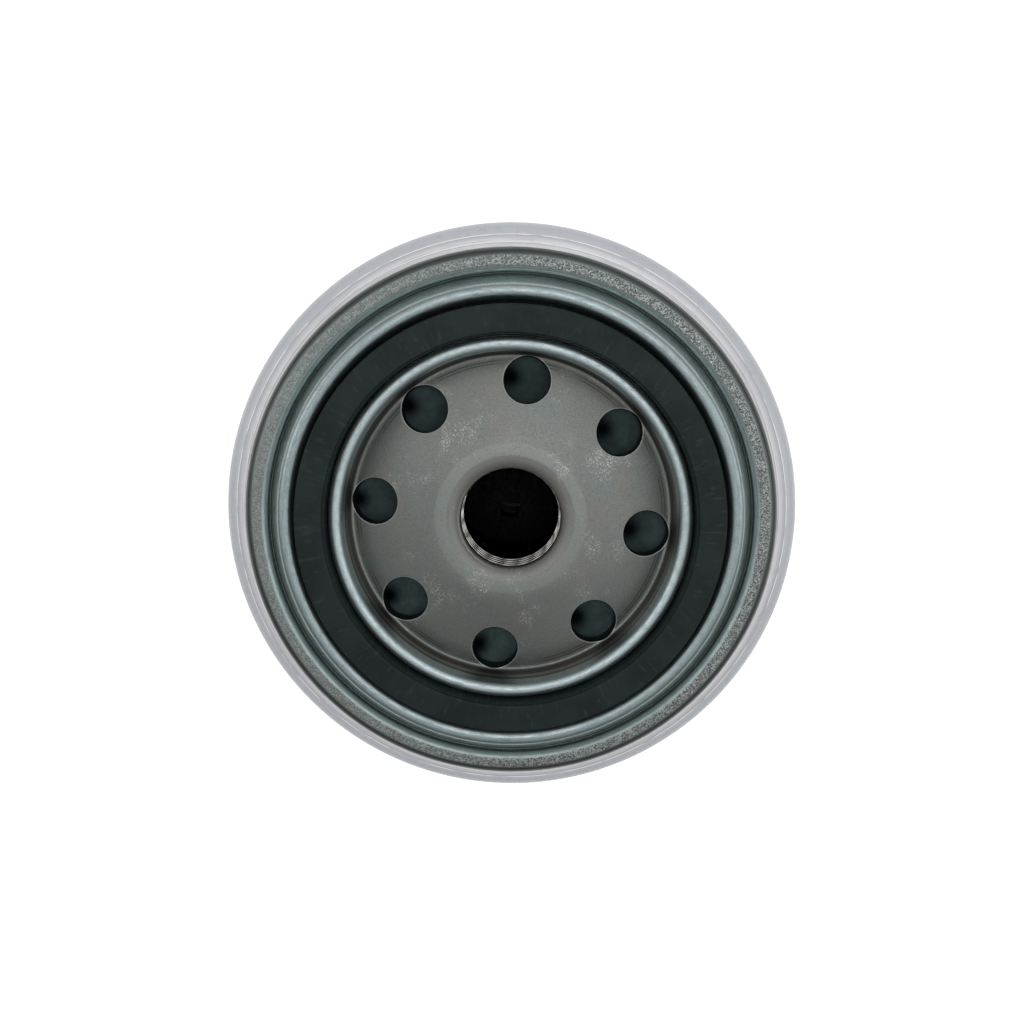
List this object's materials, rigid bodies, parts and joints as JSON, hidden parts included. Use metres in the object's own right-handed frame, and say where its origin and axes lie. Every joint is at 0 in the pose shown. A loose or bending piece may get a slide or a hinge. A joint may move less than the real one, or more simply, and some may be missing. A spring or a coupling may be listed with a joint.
{
  "type": "oil filter",
  "caption": "Spin-on oil filter: a seamed steel can round a pleated element, with a threaded dished plate, a ring of inlet holes, a base gasket, and sprung bypass and drain-back valves inside",
  "frame": {"origin": "on the filter's axis, in the plane that the closed end stands on", "axes": "+Z runs along the filter's axis from the closed end to the threaded end; +X points through the centre of one inlet hole"},
  "size_m": [0.1, 0.1, 0.1],
  "materials": {
    "white_paint": "gloss enamel",
    "zinc_plate": "zinc plated, satin",
    "sealant": "matte",
    "gasket_rubber": "matte",
    "bare_steel": "bare, oiled, satin",
    "valve_rubber": "satin",
    "tinned_steel": "tinned, satin",
    "filter_paper": "resin-treated paper",
    "potting_adhesive": "matte",
    "spring_steel": "drawn wire"
  },
  "bodies": {
    "filter": {"can": "white_paint", "seaming_lid": "zinc_plate", "seam_sealing_compound": "sealant", "base_gasket": "gasket_rubber", "tapping_plate": "bare_steel", "top_end_cap": "tinned_steel", "bottom_end_cap": "tinned_steel", "pleated_media": "filter_paper", "media_seam_clip": "tinned_steel", "centre_tube": "tinned_steel", "top_potting": "potting_adhesive", "bottom_potting": "potting_adhesive", "bypass_valve_body": "tinned_steel", "bypass_valve_seat_seal": "valve_rubber", "bypass_spring": "spring_steel", "bypass_spring_retainer": "tinned_steel", "element_spring": "spring_steel"},
    "bypass_poppet": {"bypass_valve_disc": "tinned_steel", "bypass_valve_stem": "tinned_steel"},
    "drainback_flap": {"anti_drainback_valve": "valve_rubber"}
  },
  "joints": [
    {"name": "bypass_lift", "type": "slide", "parent": "filter", "child": "bypass_poppet", "axis": [0, 0, 1], "range_m": [0, 0.003], "stiffness_N_per_m": 2300, "deforming": ["bypass_spring"]},
    {"name": "drainback_open", "type": "slide", "parent": "filter", "child": "drainback_flap", "axis": [0, 0, -1], "range_m": [0, 0.0015], "stiffness_N_per_m": 1200, "deforming": ["anti_drainback_valve"]}
  ]
}
